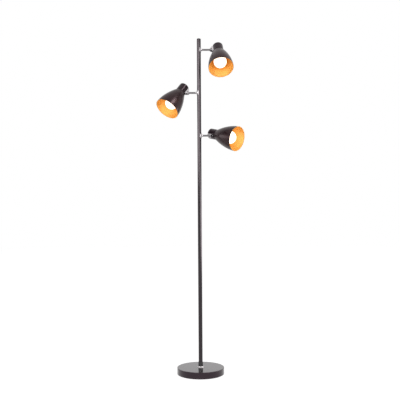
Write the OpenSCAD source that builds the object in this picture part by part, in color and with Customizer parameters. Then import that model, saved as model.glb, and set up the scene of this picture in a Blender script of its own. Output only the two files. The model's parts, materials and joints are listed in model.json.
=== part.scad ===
// Free-standing floor lamp with three adjustable spot heads.
// Origin: centre of the underside of the floor pad. +Z up, -Y is the front.
// Each head swivels about its arm and tilts about a hollow knuckle beside its neck.

/* [Base] */
// Diameter of the round base
base_dia = 220; // [200:1:260]
// Height of the base cover above the floor
base_h = 32; // [30:0.5:36]
// Radius of the cover's upper edge
base_edge = 2; // [2:0.5:5]
// Wall of the pressed cover
base_wall = 1.5; // [1:0.1:2]
// Thickness of the felt pad under the base
pad_t = 2; // [1.5:0.1:3]

/* [Pole] */
// Overall height of the lamp
lamp_h = 1570; // [1560:1:1600]
// Outer diameter of the pole
pole_dia = 19; // [19:0.1:19.6]
// Wall of the pole tube
pole_wall = 1.3; // [1.2:0.1:1.4]
// Height of the sleeve round the pole's foot
sleeve_h = 21; // [15:1:40]

/* [Arms] */
// Height of the top arm above the floor
top_arm_z = 1517; // [1510:0.5:1525]
// Height of the middle arm above the floor
mid_arm_z = 1315.5; // [1290:0.5:1340]
// Height of the low arm above the floor
low_arm_z = 1115; // [1090:0.5:1140]
// Distance of the top head's knuckle from the pole's axis
top_reach = 58; // [50:0.5:70]
// Distance of the middle head's knuckle from the pole's axis
mid_reach = 52.5; // [50:0.5:70]
// Distance of the low head's knuckle from the pole's axis
low_reach = 51.5; // [50:0.5:70]
// Outer diameter of the arm tube
arm_dia = 9; // [8.6:0.1:9]
// Diameter of the boss whose foot wraps the pole at each arm
boss_dia = 26; // [24:0.5:28]
// Reach of each boss from the pole's axis
boss_reach = 15.5; // [15:0.5:17]

/* [Head aim at rest] */
// How far the top head points below level
top_dip = 49.5; // [20:0.5:80]
// How far the top head turns out from its arm's square plane
top_tilt = 4.5; // [0:0.5:60]
// How far the middle head points below level
mid_dip = 56.5; // [20:0.5:80]
// How far the middle head turns out
mid_tilt = 30.5; // [0:0.5:60]
// How far the low head points below level
low_dip = 19.5; // [10:0.5:80]
// How far the low head turns out
low_tilt = 49.5; // [0:0.5:60]

/* [Head] */
// Outer diameter of the neck cup
neck_dia = 48.4; // [48.2:0.1:48.6]
// Length of the neck cup
neck_len = 41.5; // [41:0.5:44]
// Rounding of the neck's closed end
neck_round = 5.5; // [3:0.5:6]
// Sideways distance from the knuckle to the head's axis
neck_offset = 33; // [33:0.1:34]
// Distance of the neck's open end in front of the knuckle
neck_front = 14.5; // [14:0.5:15]
// Length of the shade
shade_len = 118; // [108:1:125]
// Diameter of the shade's mouth
mouth_dia = 115.6; // [110:0.2:122]
// Diameter of the shade where it meets the neck
shade_top_dia = 46.6; // [46.6:0.2:47.4]
// How quickly the bell opens out below the neck (higher is rounder)
bell_power = 1.84; // [1.5:0.02:2.2]
// Wall of the spun shade
shade_wall = 1; // [0.8:0.1:1.2]

/* [Bulb] */
// Diameter of the glowing globe
globe_dia = 59; // [55:0.2:60]
// Overall length of the bulb
bulb_len = 110; // [106:1:112]

/* [Hidden] */

$fn = 64;
eps = 0.01;

black = [0.12, 0.11, 0.12];
shade_black = [0.22, 0.19, 0.20];
nickel = [0.40, 0.39, 0.41];
chrome = [0.85, 0.85, 0.87];
steel = [0.60, 0.60, 0.62];
iron = [0.30, 0.30, 0.31];
felt = [0.16, 0.16, 0.17];
plastic = [0.10, 0.10, 0.10];
opal = [1.00, 0.99, 0.97];
white = [0.92, 0.92, 0.90];
brass = [0.80, 0.66, 0.35];

// Base: the iron weight stands on the pad and has a slot from the rear edge to a
// recess under its hub, where the cable turns up into the hollow nipple.
base_r = base_dia / 2;
weight_gap = 1;
weight_r = base_r - base_wall - weight_gap;
weight_h = 12;
hub_r = 34;
cover_under = base_h - base_wall;
recess_r = 18;
recess_top = cover_under - 4;
slot_w = 16;
washer_t = 1.5;
nut_h = 5;
nipple_r = 5;
nipple_hole_r = 5.3;
cable_bore_r = 3.2;
cable_r = 2.5;
cable_z = pad_t + 4;
cable_bend = 9;
block_front = 58;
block_size = [12, 28, 10];
gland_z = 11;
gland_bore_r = 3.6;
gland_body_r = 5.5;
gland_flange_r = 7.5;
gland_wall_y = base_r - base_wall;
gland_span = [gland_wall_y - 6, base_r + 3.5];

// Pole: three tubes of one length, with a threaded bush in each joined end.
pole_r = pole_dia / 2;
pole_in_r = pole_r - pole_wall;
bush_r = pole_in_r - 0.05;
collar_h = 4;
collar_r = 15;
cap_h = 4;
pole_foot_z = base_h + collar_h;
pole_top_z = lamp_h - cap_h;
tube_len = (pole_top_z - pole_foot_z) / 3;
seam_z = [pole_foot_z + tube_len, pole_foot_z + 2 * tube_len];
seam_bevel = 0.4;
bush_len = 18;
stud_len = 34;
sleeve_r = pole_r + 1.25;
fit = 0.05;

// Arms: [height, side yaw, swivel about the arm, tilt, reach] of each head.
top_head = [top_arm_z, 0, top_dip - 90, top_tilt, top_reach];
mid_head = [mid_arm_z, 180, 90 - mid_dip, mid_tilt, mid_reach];
low_head = [low_arm_z, 0, low_dip - 90, low_tilt, low_reach];
heads = [top_head, mid_head, low_head];
arm_r = arm_dia / 2;
arm_bore_r = 2.4;
arm_start = 3.2;
lead_r = 1.9;
boss_foot_t = 1.2;
boss_shank_r = 6.3;
boss_inner_x = 5.6;
arm_nut_r = 5.8;
arm_nut_t = 2.2;
barrel_r = 5.2;
barrel_w = 10.6;
screw_r = 1.6;
running_fit = 0.06;
screw_head_r = 3.4;
screw_head_t = 1.8;

// Bracket: two ears round the barrel, which come through slots in the neck from a
// curved plate that is riveted inside it.
ear_gap = 10.8;
ear_t = 2;
ear_r = 6.3;
ear_side_play = 0.1;
plate_t = 1.5;
plate_rear = neck_len - neck_front - neck_round - 0.5;
plate_front = -10.5;
wire_slot = [3.5, 11.5];
wire_slot_w = 5;
rivet_z = [-6, 16.5];
rivet_r = 1.5;
rivet_head_r = 3;
rivet_head_t = 1.2;

// Head: local x runs from the knuckle to the head's axis, local z points back
// from the mouth, and the knuckle's pivot line is local y through the origin.
neck_r = neck_dia / 2;
neck_wall = 1.2;
neck_in_r = neck_r - neck_wall;
neck_rear_z = neck_len - neck_front;
joint_z = -neck_front;
shade_top_r = shade_top_dia / 2;
mouth_r = mouth_dia / 2;
holder_r = 19.8;
holder_hole_r = 20.1;
holder_shoulder_r = neck_in_r - 0.2;
holder_rear_r = 15;
holder_rear_z = 16;
holder_mouth_z = joint_z - 20;
cap_r = 13.1;
cap_bore_r = 13.4;
globe_r = globe_dia / 2;
globe_wall = 1.2;
globe_cut = 20;
bulb_front_z = joint_z - 105;
bulb_rear_z = bulb_front_z + bulb_len;
globe_z = bulb_front_z + globe_r;
cap_len = 26;
cap_front_z = bulb_rear_z - cap_len;
lead_x = neck_offset - neck_in_r + plate_t + lead_r + 1.4;
lead_top_z = 21;
lead_bend = 4;
rings = 24;

// ---- helpers ---------------------------------------------------------------

// A straight tube along +Z from z0 to z1.
module tube(r_out, r_in, z0, z1) {
    translate([0, 0, z0]) difference() {
        cylinder(r = r_out, h = z1 - z0);
        translate([0, 0, -1]) cylinder(r = r_in, h = z1 - z0 + 2);
    }
}

// A straight rod along +X from x0 to x1.
module rod_x(r, x0, x1) {
    translate([x0, 0, 0]) rotate([0, 90, 0]) cylinder(r = r, h = x1 - x0);
}

// A tube end with a small outside bevel at both ends.
module bevelled_tube(r_out, r_in, z0, z1, bevel) {
    rotate_extrude() polygon([
        [r_in, z0], [r_out - bevel, z0], [r_out, z0 + bevel],
        [r_out, z1 - bevel], [r_out - bevel, z1], [r_in, z1]
    ]);
}

// Puts a child drawn along +X at the pole into a head's arm frame.
module at_arm(head) {
    translate([0, 0, head[0]]) rotate([0, 0, head[1]]) rotate([head[2], 0, 0]) children();
}

// Puts a child drawn about the knuckle into a head's own frame.
module at_head(head) {
    at_arm(head) translate([head[4], 0, 0]) rotate([0, -head[3], 0]) children();
}

// Moves a child from the knuckle to the head's own axis.
module on_axis() {
    translate([neck_offset, 0, 0]) children();
}

// ---- base ------------------------------------------------------------------

// Outline of the pressed cover: outside down the skirt, back up the inside.
module cover_outline() {
    inner_edge = max(base_edge - base_wall, 0.5);
    inner_r = base_r - base_wall;
    difference() {
        union() {
            translate([0, pad_t]) square([base_r, base_h - pad_t - base_edge]);
            translate([0, pad_t]) square([base_r - base_edge, base_h - pad_t]);
            translate([base_r - base_edge, base_h - base_edge]) circle(r = base_edge);
        }
        translate([-1, pad_t - 1]) square([inner_r + 1, cover_under - inner_edge - pad_t + 1]);
        translate([-1, pad_t - 1]) square([inner_r - inner_edge + 1, cover_under - pad_t + 1]);
        translate([inner_r - inner_edge, cover_under - inner_edge]) circle(r = inner_edge);
    }
}

module base_cover() {
    color(black) difference() {
        rotate_extrude($fn = 128) cover_outline();
        translate([0, 0, base_h - 5]) cylinder(r = nipple_hole_r, h = 10);
        translate([0, base_r - 10, gland_z]) rotate([-90, 0, 0]) cylinder(r = gland_body_r + fit, h = 20);
    }
}

module base_weight() {
    color(iron) difference() {
        union() {
            translate([0, 0, pad_t]) cylinder(r = weight_r, h = weight_h, $fn = 128);
            translate([0, 0, pad_t]) cylinder(r = hub_r, h = cover_under - pad_t);
        }
        translate([0, 0, pad_t - 1]) cylinder(r = recess_r, h = recess_top - pad_t + 1);
        cylinder(r = nipple_hole_r, h = base_h);
        translate([-slot_w / 2, 0, pad_t - 1]) cube([slot_w, base_r, recess_top - pad_t + 1]);
    }
}

module base_pad() {
    color(felt) cylinder(r = base_r - 4, h = pad_t, $fn = 128);
}

module base_washer() {
    color(steel) tube(13, nipple_r + 0.2, recess_top - washer_t, recess_top);
}

module base_nut() {
    top = recess_top - washer_t;
    color(steel) translate([0, 0, top - nut_h]) difference() {
        cylinder(r = 9.8, h = nut_h, $fn = 6);
        translate([0, 0, -1]) cylinder(r = nipple_r, h = nut_h + 2);
    }
}

module base_nipple() {
    color(steel)
        tube(nipple_r, cable_bore_r, recess_top - washer_t - nut_h - 1, pole_foot_z + bush_len - 2);
}

// Cord inlet at the rear of the skirt: a bush with an outside flange and a nut behind the wall.
module cord_gland() {
    y0 = gland_span[0];
    y1 = gland_span[1];
    color(plastic) translate([0, 0, gland_z]) rotate([-90, 0, 0]) difference() {
        union() {
            translate([0, 0, y0]) cylinder(r = gland_body_r, h = y1 - y0 - 0.8);
            translate([0, 0, base_r + 0.05]) cylinder(r = gland_flange_r, h = 1.8);
            translate([0, 0, y1 - 0.8]) cylinder(r1 = gland_body_r, r2 = gland_body_r - 0.8, h = 0.8);
            translate([0, 0, gland_wall_y - 3.3]) cylinder(r = gland_flange_r, h = 3, $fn = 6);
        }
        translate([0, 0, y0 - 1]) cylinder(r = gland_bore_r, h = y1 - y0 + 2);
    }
}

module terminal_block() {
    wire_r = 1.4;
    color(white) translate([0, block_front, pad_t + 0.5]) difference() {
        translate([-block_size[0] / 2, 0, 0]) cube(block_size);
        for (x = [-3, 3]) {
            translate([x, 6, 4]) rotate([-90, 0, 0]) cylinder(r = wire_r, h = block_size[1]);
            for (y = [9, 19]) translate([x, y, 5]) cylinder(r = 1.8, h = 10);
        }
    }
}

// ---- pole ------------------------------------------------------------------

module foot_collar() {
    z0 = base_h;
    color(chrome) difference() {
        rotate_extrude() union() {
            translate([0, z0]) square([collar_r - 1, 2]);
            translate([collar_r - 1, z0 + 1]) circle(r = 1);
            translate([0, z0]) square([collar_r - 1.6, 2.6]);
            translate([0, z0]) square([sleeve_r + 0.4, collar_h]);
        }
        translate([0, 0, z0 - 2]) cylinder(r = nipple_hole_r, h = collar_h + 4);
    }
}

module foot_sleeve() {
    z0 = pole_foot_z;
    color(black) rotate_extrude() polygon([
        [pole_r + fit, z0], [sleeve_r, z0], [sleeve_r, z0 + sleeve_h - 1],
        [sleeve_r - 0.7, z0 + sleeve_h], [pole_r + fit, z0 + sleeve_h]
    ]);
}

module pole_lower() {
    color(nickel) bevelled_tube(pole_r, pole_in_r, pole_foot_z, seam_z[0], seam_bevel);
}

module pole_middle() {
    color(nickel) bevelled_tube(pole_r, pole_in_r, seam_z[0], seam_z[1], seam_bevel);
}

// The upper tube is drilled where each boss enters.
module pole_upper() {
    color(nickel) difference() {
        bevelled_tube(pole_r, pole_in_r, seam_z[1], pole_top_z, seam_bevel);
        for (head = heads) at_arm(head) rod_x(boss_shank_r + fit, 2, pole_r + 5);
    }
}

module joint_bushes() {
    starts = [pole_foot_z + 0.5, seam_z[0] - bush_len - 0.5, seam_z[0] + 0.5,
              seam_z[1] - bush_len - 0.5, seam_z[1] + 0.5];
    color(steel) for (z0 = starts) tube(bush_r, nipple_r + 0.02, z0, z0 + bush_len);
}

module joint_studs() {
    color(steel) for (z = seam_z) tube(nipple_r, cable_bore_r, z - stud_len / 2, z + stud_len / 2);
}

// Low domed plug at the top of the pole.
module pole_cap() {
    dome_r = 4;
    plug_len = 12;
    color(nickel) rotate_extrude() union() {
        translate([0, pole_top_z - plug_len]) square([bush_r, plug_len]);
        translate([0, pole_top_z]) square([pole_r - dome_r, cap_h]);
        intersection() {
            translate([pole_r - dome_r, pole_top_z]) circle(r = dome_r);
            translate([0, pole_top_z]) square([pole_r, cap_h]);
        }
    }
}

// A chrome boss carries the arm in its bore: a shank in the pole, a trumpet outside it
// and a thin round foot that wraps the near side of the pole.
module boss(head) {
    foot_x = 3.5;
    trumpet_x = 4.5;
    trumpet_r = pole_r - 0.1;
    nose_r = arm_r + 1.3;
    flare_r = 8.3;
    // A tall cylinder about the pole's own axis.
    module round_pole(r) {
        rotate([-head[2], 0, 0]) cylinder(r = r, h = 3 * boss_dia, center = true);
    }
    at_arm(head) difference() {
        union() {
            rod_x(boss_shank_r, boss_inner_x, pole_r + 0.3);
            difference() {
                union() {
                    intersection() {
                        rod_x(boss_dia / 2, foot_x, pole_r + boss_foot_t + 1);
                        round_pole(pole_r + boss_foot_t);
                    }
                    rotate([0, 90, 0]) rotate_extrude() difference() {
                        translate([0, trumpet_x]) square([trumpet_r, boss_reach - trumpet_x]);
                        translate([nose_r + flare_r, boss_reach]) circle(r = flare_r);
                    }
                }
                round_pole(pole_r + fit);
            }
        }
        rod_x(arm_r + running_fit, 0, boss_reach + 1);
    }
}

module arm_bosses() {
    color(chrome) for (head = heads) boss(head);
}

// Mains cable from the terminal block, along the slot, up through the nipple and the pole.
module feed_cable() {
    run = block_front - cable_bend;
    top = top_arm_z + 8;
    color(plastic) union() {
        translate([0, cable_bend, cable_z]) rotate([-90, 0, 0]) cylinder(r = cable_r, h = run);
        translate([0, cable_bend, cable_z + cable_bend]) rotate([0, -90, 0]) rotate([0, 0, 180])
            rotate_extrude(angle = 90) translate([cable_bend, 0]) circle(r = cable_r);
        translate([0, 0, cable_z + cable_bend]) cylinder(r = cable_r, h = top - cable_z - cable_bend);
    }
}

// ---- arm pieces, drawn along +X from the pole's axis ------------------------

// Chrome tube with a cross barrel for the knuckle at its outer end.
module arm(head) {
    reach = head[4];
    color(chrome) at_arm(head) difference() {
        union() {
            rod_x(arm_r, arm_start, reach);
            translate([reach, 0, 0]) rotate([90, 0, 0])
                cylinder(r = barrel_r, h = barrel_w, center = true);
            rod_x(arm_r + 0.5, reach - 9.5, reach - 4);
        }
        rod_x(arm_bore_r, arm_start - 1, reach + barrel_r + 1);
        translate([reach, 0, 0]) rotate([90, 0, 0])
            cylinder(r = screw_r + 0.02, h = barrel_w + 2, center = true);
    }
}

module arm_nut(head) {
    color(steel) at_arm(head) difference() {
        translate([arm_start, 0, 0]) rotate([0, 90, 0]) cylinder(r = arm_nut_r, h = arm_nut_t, $fn = 6);
        rod_x(arm_r + 0.02, arm_start - 1, arm_start + 4);
    }
}

// Two-core lead along the arm, as far as the knuckle.
module arm_lead(head) {
    color(plastic) at_arm(head) rod_x(lead_r, arm_start, head[4] + 2);
}

// A shoulder screw from each side, stopping clear of the lead between them.
module pivot_screws(head) {
    side = ear_gap / 2 + ear_t + ear_side_play;
    inner = lead_r + 0.4;
    edge = 0.5;
    slot_depth = 0.8;
    color(chrome) at_arm(head) translate([head[4], 0, 0]) for (turn = [0, 180]) rotate([turn, 0, 0])
        rotate([-90, 0, 0]) difference() {
            union() {
                translate([0, 0, inner]) cylinder(r = screw_r, h = side - inner + eps);
                translate([0, 0, side]) cylinder(r = screw_head_r, h = screw_head_t - edge);
                translate([0, 0, side + screw_head_t - edge])
                    cylinder(r1 = screw_head_r, r2 = screw_head_r - edge, h = edge);
            }
            translate([-edge, -screw_head_r - 1, side + screw_head_t - slot_depth])
                cube([2 * edge, 2 * screw_head_r + 2, 2]);
        }
}

// ---- head pieces, drawn about the knuckle -----------------------------------

// Side view of one ear: a round end at the pivot, widening to a straight foot that goes
// through the neck. The slanting edges start just inside the round end, so that they
// cross it cleanly.
module ear_outline() {
    shoulder_x = neck_offset - neck_r - 3;
    foot_x = neck_offset - neck_in_r + 4;
    start_r = ear_r - 0.15;
    rear = [shoulder_x, plate_rear];
    front = [shoulder_x, plate_front];
    rear_at = atan2(rear[1], rear[0]) + acos(ear_r / norm(rear));
    front_at = atan2(front[1], front[0]) - acos(ear_r / norm(front));
    circle(r = ear_r);
    polygon([[0, 0], start_r * [cos(front_at), sin(front_at)], front, [foot_x, plate_front],
             [foot_x, plate_rear], rear, start_r * [cos(rear_at), sin(rear_at)]]);
}

module bracket(head) {
    width = ear_gap + 2 * ear_t;
    plate_in_r = neck_in_r - plate_t;
    plate_x = neck_offset - neck_in_r;
    color(chrome) at_head(head) difference() {
        union() {
            for (y = [-ear_gap / 2 - ear_t, ear_gap / 2])
                translate([0, y + ear_t, 0]) rotate([90, 0, 0]) linear_extrude(ear_t) ear_outline();
            intersection() {
                on_axis() translate([0, 0, plate_front])
                    cylinder(r = neck_in_r - fit, h = plate_rear - plate_front);
                translate([plate_x, -width / 2, plate_front]) cube([5, width, plate_rear - plate_front]);
            }
        }
        on_axis() translate([0, 0, plate_front - 1])
            cylinder(r = plate_in_r, h = plate_rear - plate_front + 2);
        rotate([90, 0, 0]) cylinder(r = screw_r + running_fit, h = width + 2, center = true);
        for (z = rivet_z) translate([0, 0, z]) rod_x(rivet_r + fit, plate_x - 2, plate_x + 5);
        wire_opening();
    }
}

// Round-ended opening for the lead, through the neck and the plate behind the knuckle.
module wire_opening() {
    half = wire_slot_w / 2;
    x0 = neck_offset - neck_r - 2;
    for (z = [wire_slot[0] + half, wire_slot[1] - half]) translate([0, 0, z]) rod_x(half, x0, x0 + 8);
    translate([x0, -half, wire_slot[0] + half])
        cube([8, wire_slot_w, wire_slot[1] - wire_slot[0] - wire_slot_w]);
}

// Slots that the two ears pass through.
module ear_slots() {
    play = 0.1;
    for (y = [-ear_gap / 2 - ear_t, ear_gap / 2])
        translate([neck_offset - neck_r - 2, y - play, plate_front - play])
            cube([8, ear_t + 2 * play, plate_rear - plate_front + 2 * play]);
}

module rivets(head) {
    outside = neck_offset - neck_r;
    inside = neck_offset - neck_in_r + plate_t;
    color(steel) at_head(head) for (z = rivet_z) translate([0, 0, z]) {
        rod_x(rivet_r, outside - rivet_head_t + eps, inside + 1);
        rotate([0, -90, 0]) translate([0, 0, -outside])
            cylinder(r1 = rivet_head_r, r2 = rivet_head_r - 1, h = rivet_head_t);
        rod_x(rivet_head_r - 0.8, inside + 0.15, inside + 1);
    }
}

// Plain cup: closed and rounded at the rear, open towards the shade.
module neck(head) {
    in_round = max(neck_round - neck_wall, 1);
    in_top = neck_rear_z - neck_wall;
    color(black) at_head(head) difference() {
        on_axis() rotate_extrude() difference() {
            union() {
                translate([0, joint_z]) square([neck_r, neck_len - neck_round]);
                translate([0, joint_z]) square([neck_r - neck_round, neck_len]);
                intersection() {
                    translate([neck_r - neck_round, neck_rear_z - neck_round]) circle(r = neck_round);
                    translate([0, joint_z]) square([neck_r, neck_len]);
                }
            }
            translate([-1, joint_z - 1]) square([neck_in_r + 1, in_top - joint_z + 1 - in_round]);
            translate([-1, joint_z - 1]) square([neck_in_r + 1 - in_round, in_top - joint_z + 1]);
            translate([neck_in_r - in_round, in_top - in_round]) circle(r = in_round);
        }
        for (z = rivet_z) translate([0, 0, z]) rod_x(rivet_r + fit, 0, 12);
        wire_opening();
        ear_slots();
    }
}

// The lead goes in through the opening, back along the neck and down into the holder.
module neck_lead(head) {
    start_x = neck_offset - neck_r + 0.6;
    entry_z = (wire_slot[0] + wire_slot[1]) / 2;
    // A quarter bend in the x-z plane about [x, z], starting at an angle above +x.
    module elbow(x, z, start) {
        translate([x, 0, z]) rotate([90, 0, 0]) rotate([0, 0, start])
            rotate_extrude(angle = 90) translate([lead_bend, 0]) circle(r = lead_r);
    }
    color(plastic) at_head(head) union() {
        translate([0, 0, entry_z]) rod_x(lead_r, start_x, lead_x - lead_bend + eps);
        elbow(lead_x - lead_bend, entry_z + lead_bend, -90);
        translate([lead_x, 0, entry_z + lead_bend])
            cylinder(r = lead_r, h = lead_top_z - entry_z - 2 * lead_bend);
        elbow(lead_x + lead_bend, lead_top_z - lead_bend, 90);
        translate([0, 0, lead_top_z]) rod_x(lead_r, lead_x + lead_bend, neck_offset - lead_bend);
        elbow(neck_offset - lead_bend, lead_top_z - lead_bend, 0);
        translate([neck_offset, 0, holder_rear_z])
            cylinder(r = lead_r, h = lead_top_z - lead_bend - holder_rear_z + eps);
    }
}

// Screw-shell lamp holder: a narrow rear, a shoulder in the neck's mouth and a long
// threaded skirt that passes through the shade.
module lamp_holder(head) {
    shoulder_t = 3;
    end_len = 3;
    cone_len = holder_rear_z - joint_z - shoulder_t - end_len;
    groove = 0.5;
    pitch = 2.5;
    color(plastic) at_head(head) on_axis() difference() {
        union() {
            translate([0, 0, holder_mouth_z])
                cylinder(r = holder_r - groove, h = joint_z - holder_mouth_z + eps);
            for (z = [holder_mouth_z : pitch : joint_z - pitch]) translate([0, 0, z])
                cylinder(r = holder_r, h = pitch / 2);
            translate([0, 0, joint_z]) cylinder(r = holder_shoulder_r, h = shoulder_t);
            translate([0, 0, joint_z + shoulder_t - eps])
                cylinder(r1 = holder_r - 3, r2 = holder_rear_r, h = cone_len);
            translate([0, 0, joint_z + shoulder_t + cone_len - 2 * eps])
                cylinder(r1 = holder_rear_r, r2 = holder_rear_r - 2, h = end_len);
        }
        translate([0, 0, holder_mouth_z - 1])
            cylinder(r = cap_bore_r, h = bulb_rear_z + 0.5 - holder_mouth_z + 1);
    }
}

// Threaded ring that clamps the shade's flange from inside.
module shade_ring(head) {
    z0 = joint_z - shade_wall - 5;
    color(plastic) at_head(head) on_axis() difference() {
        union() {
            translate([0, 0, z0]) cylinder(r = 22, h = 5);
            for (a = [0 : 30 : 330]) rotate([0, 0, a]) translate([21.4, 0, z0]) cylinder(r = 1, h = 4.4);
        }
        translate([0, 0, z0 - 1]) cylinder(r = holder_r + fit, h = 7);
    }
}

// Radius of the bell at a share t of its length from the neck.
function bell_r(t) = shade_top_r + (mouth_r - shade_top_r) * (1 - pow(1 - t, bell_power));

// Spun bell with a flat flange at the top, which the holder's skirt passes through.
module shade(head) {
    outside = [for (i = [0 : rings]) [bell_r(i / rings), joint_z - i / rings * shade_len]];
    inside = [for (i = [rings : -1 : 1]) [bell_r(i / rings) - shade_wall, joint_z - i / rings * shade_len]];
    throat = [[bell_r(shade_wall / shade_len) - shade_wall, joint_z - shade_wall],
              [holder_hole_r, joint_z - shade_wall], [holder_hole_r, joint_z]];
    color(shade_black) at_head(head) on_axis() rotate_extrude($fn = 96)
        polygon(concat(outside, inside, throat));
}

// Hollow opal globe of the bulb, open where it meets the plastic body.
module bulb_globe(head) {
    color(opal) at_head(head) on_axis() translate([0, 0, globe_z]) intersection() {
        difference() {
            sphere(r = globe_r);
            sphere(r = globe_r - globe_wall);
        }
        translate([0, 0, -globe_r - 1]) cylinder(r = globe_r + 1, h = globe_r + 1 + globe_cut);
    }
}

// Plastic body between the globe and the screw cap.
module bulb_body(head) {
    top_r = sqrt(globe_r * globe_r - globe_cut * globe_cut);
    z0 = globe_z + globe_cut;
    color(white) at_head(head) on_axis() translate([0, 0, z0])
        cylinder(r1 = top_r, r2 = cap_r - 0.2, h = cap_front_z - z0);
}

module bulb_cap(head) {
    pitch = 3.6;
    tip = 3;
    color(brass) at_head(head) on_axis() union() {
        translate([0, 0, cap_front_z]) cylinder(r = cap_r - 0.7, h = cap_len - tip - 2);
        for (z = [cap_front_z + 1 : pitch : bulb_rear_z - tip - 5]) translate([0, 0, z])
            cylinder(r = cap_r, h = pitch / 2);
        translate([0, 0, bulb_rear_z - tip - 2 - eps]) cylinder(r1 = cap_r - 1, r2 = 5, h = tip);
        translate([0, 0, bulb_rear_z - 2 - 2 * eps]) cylinder(r1 = 5, r2 = 4, h = 2);
    }
}

// ---- nodes -----------------------------------------------------------------

base_cover();
base_weight();
base_pad();
base_nipple();
base_nut();
base_washer();
cord_gland();
terminal_block();
foot_collar();
foot_sleeve();
pole_lower();
pole_middle();
pole_upper();
joint_bushes();
joint_studs();
pole_cap();
arm_bosses();
feed_cable();

arm(top_head);  // arm_top
arm_nut(top_head);  // arm_nut_top
arm_lead(top_head);  // arm_lead_top
pivot_screws(top_head);  // pivot_screws_top
bracket(top_head);  // bracket_top
rivets(top_head);  // rivets_top
neck(top_head);  // neck_top
neck_lead(top_head);  // neck_lead_top
lamp_holder(top_head);  // lamp_holder_top
shade_ring(top_head);  // shade_ring_top
shade(top_head);  // shade_top
bulb_globe(top_head);  // bulb_globe_top
bulb_body(top_head);  // bulb_body_top
bulb_cap(top_head);  // bulb_cap_top

arm(mid_head);  // arm_mid
arm_nut(mid_head);  // arm_nut_mid
arm_lead(mid_head);  // arm_lead_mid
pivot_screws(mid_head);  // pivot_screws_mid
bracket(mid_head);  // bracket_mid
rivets(mid_head);  // rivets_mid
neck(mid_head);  // neck_mid
neck_lead(mid_head);  // neck_lead_mid
lamp_holder(mid_head);  // lamp_holder_mid
shade_ring(mid_head);  // shade_ring_mid
shade(mid_head);  // shade_mid
bulb_globe(mid_head);  // bulb_globe_mid
bulb_body(mid_head);  // bulb_body_mid
bulb_cap(mid_head);  // bulb_cap_mid

arm(low_head);  // arm_low
arm_nut(low_head);  // arm_nut_low
arm_lead(low_head);  // arm_lead_low
pivot_screws(low_head);  // pivot_screws_low
bracket(low_head);  // bracket_low
rivets(low_head);  // rivets_low
neck(low_head);  // neck_low
neck_lead(low_head);  // neck_lead_low
lamp_holder(low_head);  // lamp_holder_low
shade_ring(low_head);  // shade_ring_low
shade(low_head);  // shade_low
bulb_globe(low_head);  // bulb_globe_low
bulb_body(low_head);  // bulb_body_low
bulb_cap(low_head);  // bulb_cap_low
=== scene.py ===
"""Looks of a free-standing floor lamp with three adjustable spot heads.

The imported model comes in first, as a fixed frame. Each visible piece is then modelled at the place
that the frame gives, rides on the frame's body and stands for the plain solid of its kind. Solids
that lie inside keep their own shape and only take a finish. Sizes are millimetres, as on the
maker's drawing, until a piece is settled into the frame, which is in metres. Angles are degrees.
"""

import json
import logging
import math
from dataclasses import dataclass, field
from enum import Enum
from itertools import pairwise

import bpy
from mathutils import Matrix, Vector


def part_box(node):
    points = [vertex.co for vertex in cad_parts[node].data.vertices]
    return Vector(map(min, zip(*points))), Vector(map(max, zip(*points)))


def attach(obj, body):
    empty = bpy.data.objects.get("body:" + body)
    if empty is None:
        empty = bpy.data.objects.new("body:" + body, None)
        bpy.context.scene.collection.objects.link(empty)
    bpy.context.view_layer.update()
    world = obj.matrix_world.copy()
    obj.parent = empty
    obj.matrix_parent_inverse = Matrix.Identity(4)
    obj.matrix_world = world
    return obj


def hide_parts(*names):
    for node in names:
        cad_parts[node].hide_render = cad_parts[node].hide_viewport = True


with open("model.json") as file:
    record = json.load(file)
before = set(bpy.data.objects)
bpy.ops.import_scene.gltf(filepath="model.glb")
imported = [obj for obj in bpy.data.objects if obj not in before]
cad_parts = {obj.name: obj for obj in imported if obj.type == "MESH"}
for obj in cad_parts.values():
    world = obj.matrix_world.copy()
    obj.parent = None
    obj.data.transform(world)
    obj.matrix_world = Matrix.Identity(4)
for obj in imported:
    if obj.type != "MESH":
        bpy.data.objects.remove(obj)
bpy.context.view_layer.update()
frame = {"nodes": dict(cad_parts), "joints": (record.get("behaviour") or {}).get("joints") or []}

MM = 0.001  # in the frame's metres
UPRIGHT = Matrix.Identity(4)
DRAWN_AT = "drawn_at"  # the attribute that keeps each point's place in its drawing
WELD = 0.002  # points closer than this become one
SMOOTH_BELOW = 32  # edges that turn by less are shaded smooth

Point = tuple[float, float]
Triple = tuple[float, float, float]

log = logging.getLogger("floor_lamp")


# ---- the frame's places ----------------------------------------------------------------------


class Slot(Enum):
    """The record's material slots."""

    BASE = "base_enamel"
    WEIGHT = "weight_iron"
    PAD = "pad_felt"
    ZINC = "zinc_steel"
    BLACK_PLASTIC = "black_plastic"
    WHITE_PLASTIC = "white_plastic"
    SHEATH = "cable_sheath"
    CHROME = "bright_chrome"
    SLEEVE = "sleeve_black"
    NICKEL = "black_nickel"
    NECK = "neck_black"
    SHADE = "shade_black"
    GLOBE = "opal_globe"
    CAP = "cap_metal"


class Coat(Enum):
    """Finishes that some pieces have in place of their slot's.

    Both are paler copies of the arm's chrome: painted highlight, for the light that the bosses, the
    bracket and the collar catch.
    """

    GOLD = "gold_lacquer"
    BRIGHT = "bright_nickel"
    BOSS = "boss_chrome"


class Spot(Enum):
    """The three spots, from the top."""

    TOP = "top"
    MID = "mid"
    LOW = "low"


class Section(Enum):
    """The pole's three tubes."""

    LOWER = "lower"
    MIDDLE = "middle"
    UPPER = "upper"


class Body(Enum):
    """The kinds of body that a piece can ride on."""

    STAND = "stand"
    ARM = "arm_body"
    HEAD = "head"

    def of(self, spot: Spot | None = None) -> str:
        """The body's own name, for one spot where it has one."""
        return f"{self.value}_{spot.value}" if spot else self.value


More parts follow.
